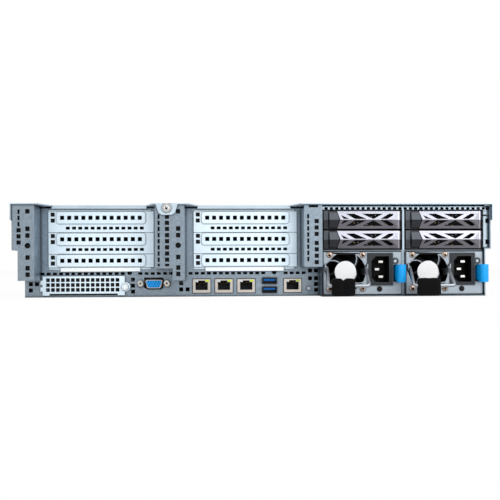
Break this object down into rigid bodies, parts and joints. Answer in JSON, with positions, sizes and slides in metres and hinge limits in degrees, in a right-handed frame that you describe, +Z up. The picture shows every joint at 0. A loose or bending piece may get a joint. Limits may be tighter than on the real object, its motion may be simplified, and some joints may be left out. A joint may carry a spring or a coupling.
{
  "type": "rack server",
  "caption": "Rack-mount server chassis, two units high, with removable rear drives and power supplies, vented slot bays, port panel, rack ears and sliding cover.",
  "frame": {"origin": "middle of the footprint, on the surface that the chassis stands on", "axes": "+X across the rack to the right when facing the rear panel, +Y from the rear panel to the front bezel, +Z up"},
  "size_m": [0.4826, 0.8088, 0.087],
  "materials": {
    "galvanised_sheet": "speckled galvanised sheet",
    "zinc_sheet": "bright zinc-plated sheet",
    "nickel_plate": "polished nickel",
    "port_shell": "tinned port shell",
    "black_plastic": "moulded",
    "board": "solder mask",
    "cast_aluminium": "satin",
    "pale_button": "moulded, translucent",
    "blue_plastic": "moulded",
    "dark_plastic": "moulded",
    "silver_plastic": "metallic paint",
    "black_felt": "hook-and-loop felt"
  },
  "bodies": {
    "root": {"chassis_tray": "galvanised_sheet", "front_top_cover": "zinc_sheet", "rear_io_panel": "galvanised_sheet", "left_column": "galvanised_sheet", "middle_column": "galvanised_sheet", "right_column": "galvanised_sheet", "slot_covers": "zinc_sheet", "riser_cages": "zinc_sheet", "network_card_cover": "zinc_sheet", "panel_screws": "nickel_plate", "vga_connector": "port_shell", "lan_jacks": "port_shell", "usb_ports": "black_plastic", "motherboard": "board", "heatsinks": "cast_aluminium", "memory_modules": "black_plastic", "riser_cards": "board", "air_duct": "black_plastic", "fan_frames": "black_plastic", "rear_drive_cage": "galvanised_sheet", "psu_cage": "galvanised_sheet", "front_drive_cage": "galvanised_sheet", "front_drives": "black_plastic", "drive_backplane": "board", "rack_ears": "galvanised_sheet"},
    "cover": {"top_cover": "zinc_sheet", "cover_screw": "nickel_plate"},
    "cover_latch": {"cover_latch": "blue_plastic"},
    "uid_button": {"uid_button": "pale_button"},
    "power_button": {"power_button": "pale_button"},
    "bezel": {"front_bezel": "black_plastic"},
    "fan_1": {"fan_rotor_1": "black_plastic"},
    "fan_2": {"fan_rotor_2": "black_plastic"},
    "fan_3": {"fan_rotor_3": "black_plastic"},
    "fan_4": {"fan_rotor_4": "black_plastic"},
    "psu_left": {"psu_left_case": "zinc_sheet", "psu_left_inlet": "dark_plastic"},
    "psu_left_latch": {"psu_left_latch": "blue_plastic"},
    "psu_left_handle": {"psu_left_handle": "nickel_plate", "psu_left_strap": "black_felt"},
    "psu_left_fan": {"psu_left_fan": "black_plastic"},
    "psu_right": {"psu_right_case": "zinc_sheet", "psu_right_inlet": "dark_plastic"},
    "psu_right_latch": {"psu_right_latch": "blue_plastic"},
    "psu_right_handle": {"psu_right_handle": "nickel_plate", "psu_right_strap": "black_felt"},
    "psu_right_fan": {"psu_right_fan": "black_plastic"},
    "drive_1": {"drive_1_carrier": "dark_plastic"},
    "drive_1_lever": {"drive_1_lever": "silver_plastic"},
    "drive_1_button": {"drive_1_button": "dark_plastic"},
    "drive_2": {"drive_2_carrier": "dark_plastic"},
    "drive_2_lever": {"drive_2_lever": "silver_plastic"},
    "drive_2_button": {"drive_2_button": "dark_plastic"},
    "drive_3": {"drive_3_carrier": "dark_plastic"},
    "drive_3_lever": {"drive_3_lever": "silver_plastic"},
    "drive_3_button": {"drive_3_button": "dark_plastic"},
    "drive_4": {"drive_4_carrier": "dark_plastic"},
    "drive_4_lever": {"drive_4_lever": "silver_plastic"},
    "drive_4_button": {"drive_4_button": "dark_plastic"}
  },
  "joints": [
    {"name": "cover_slide", "type": "slide", "parent": "root", "child": "cover", "axis": [0, -1, 0], "range_m": [0, 0.02]},
    {"name": "cover_latch_turn", "type": "hinge", "parent": "cover", "child": "cover_latch", "pos_m": [0, 0.00785, 0.0836], "axis": [1, 0, 0], "range_deg": [0, 55.1]},
    {"name": "uid_press", "type": "slide", "parent": "root", "child": "uid_button", "axis": [0, 1, 0], "range_m": [0, 0.001], "stiffness_N_per_m": 400, "springref_m": -0.0005},
    {"name": "power_press", "type": "slide", "parent": "root", "child": "power_button", "axis": [0, -1, 0], "range_m": [0, 0.0012], "stiffness_N_per_m": 400, "springref_m": -0.0005},
    {"name": "bezel_pull", "type": "slide", "parent": "root", "child": "bezel", "axis": [0, 1, 0], "range_m": [0, 0.03]},
    {"name": "fan_1_spin", "type": "hinge", "parent": "root", "child": "fan_1", "pos_m": [-0.1575, 0.15345, 0.0411], "axis": [0, 1, 0], "continuous": true},
    {"name": "fan_2_spin", "type": "hinge", "parent": "root", "child": "fan_2", "pos_m": [-0.0525, 0.15345, 0.0411], "axis": [0, 1, 0], "continuous": true},
    {"name": "fan_3_spin", "type": "hinge", "parent": "root", "child": "fan_3", "pos_m": [0.0525, 0.15345, 0.0411], "axis": [0, 1, 0], "continuous": true},
    {"name": "fan_4_spin", "type": "hinge", "parent": "root", "child": "fan_4", "pos_m": [0.1575, 0.15345, 0.0411], "axis": [0, 1, 0], "continuous": true},
    {"name": "psu_left_slide", "type": "slide", "parent": "root", "child": "psu_left", "axis": [0, -1, 0], "range_m": [0, 0.19]},
    {"name": "psu_left_latch_press", "type": "slide", "parent": "psu_left", "child": "psu_left_latch", "axis": [-1, 0, 0], "range_m": [0, 0.002], "stiffness_N_per_m": 600, "springref_m": -0.0005},
    {"name": "psu_left_handle_swing", "type": "hinge", "parent": "psu_left", "child": "psu_left_handle", "pos_m": [0.085, -0.38035, 0.0272], "axis": [-1, 0, 0], "range_deg": [0, 90]},
    {"name": "psu_left_fan_spin", "type": "hinge", "parent": "psu_left", "child": "psu_left_fan", "pos_m": [0.085, -0.36655, 0.023], "axis": [0, 1, 0], "continuous": true},
    {"name": "psu_right_slide", "type": "slide", "parent": "root", "child": "psu_right", "axis": [0, -1, 0], "range_m": [0, 0.19]},
    {"name": "psu_right_latch_press", "type": "slide", "parent": "psu_right", "child": "psu_right_latch", "axis": [-1, 0, 0], "range_m": [0, 0.002], "stiffness_N_per_m": 600, "springref_m": -0.0005},
    {"name": "psu_right_handle_swing", "type": "hinge", "parent": "psu_right", "child": "psu_right_handle", "pos_m": [0.1634, -0.38035, 0.0272], "axis": [-1, 0, 0], "range_deg": [0, 90]},
    {"name": "psu_right_fan_spin", "type": "hinge", "parent": "psu_right", "child": "psu_right_fan", "pos_m": [0.1634, -0.36655, 0.023], "axis": [0, 1, 0], "continuous": true},
    {"name": "drive_1_slide", "type": "slide", "parent": "root", "child": "drive_1", "axis": [0, -1, 0], "range_m": [0, 0.1]},
    {"name": "drive_1_lever_swing", "type": "hinge", "parent": "drive_1", "child": "drive_1_lever", "pos_m": [0.1343, -0.37595, 0.0717], "axis": [0, 0, 1], "range_deg": [0, 60]},
    {"name": "drive_1_button_press", "type": "slide", "parent": "drive_1", "child": "drive_1_button", "axis": [0, 1, 0], "range_m": [0, 0.0015], "stiffness_N_per_m": 500, "springref_m": -0.0005},
    {"name": "drive_2_slide", "type": "slide", "parent": "root", "child": "drive_2", "axis": [0, -1, 0], "range_m": [0, 0.1]},
    {"name": "drive_2_lever_swing", "type": "hinge", "parent": "drive_2", "child": "drive_2_lever", "pos_m": [0.2119, -0.37595, 0.0717], "axis": [0, 0, 1], "range_deg": [0, 60]},
    {"name": "drive_2_button_press", "type": "slide", "parent": "drive_2", "child": "drive_2_button", "axis": [0, 1, 0], "range_m": [0, 0.0015], "stiffness_N_per_m": 500, "springref_m": -0.0005},
    {"name": "drive_3_slide", "type": "slide", "parent": "root", "child": "drive_3", "axis": [0, -1, 0], "range_m": [0, 0.1]},
    {"name": "drive_3_lever_swing", "type": "hinge", "parent": "drive_3", "child": "drive_3_lever", "pos_m": [0.1343, -0.37595, 0.0532], "axis": [0, 0, 1], "range_deg": [0, 60]},
    {"name": "drive_3_button_press", "type": "slide", "parent": "drive_3", "child": "drive_3_button", "axis": [0, 1, 0], "range_m": [0, 0.0015], "stiffness_N_per_m": 500, "springref_m": -0.0005},
    {"name": "drive_4_slide", "type": "slide", "parent": "root", "child": "drive_4", "axis": [0, -1, 0], "range_m": [0, 0.1]},
    {"name": "drive_4_lever_swing", "type": "hinge", "parent": "drive_4", "child": "drive_4_lever", "pos_m": [0.2119, -0.37595, 0.0532], "axis": [0, 0, 1], "range_deg": [0, 60]},
    {"name": "drive_4_button_press", "type": "slide", "parent": "drive_4", "child": "drive_4_button", "axis": [0, 1, 0], "range_m": [0, 0.0015], "stiffness_N_per_m": 500, "springref_m": -0.0005}
  ],
  "couplings": [
    {"joint": "cover_latch_turn", "follows": "cover_slide", "rad_per_m": 48}
  ]
}
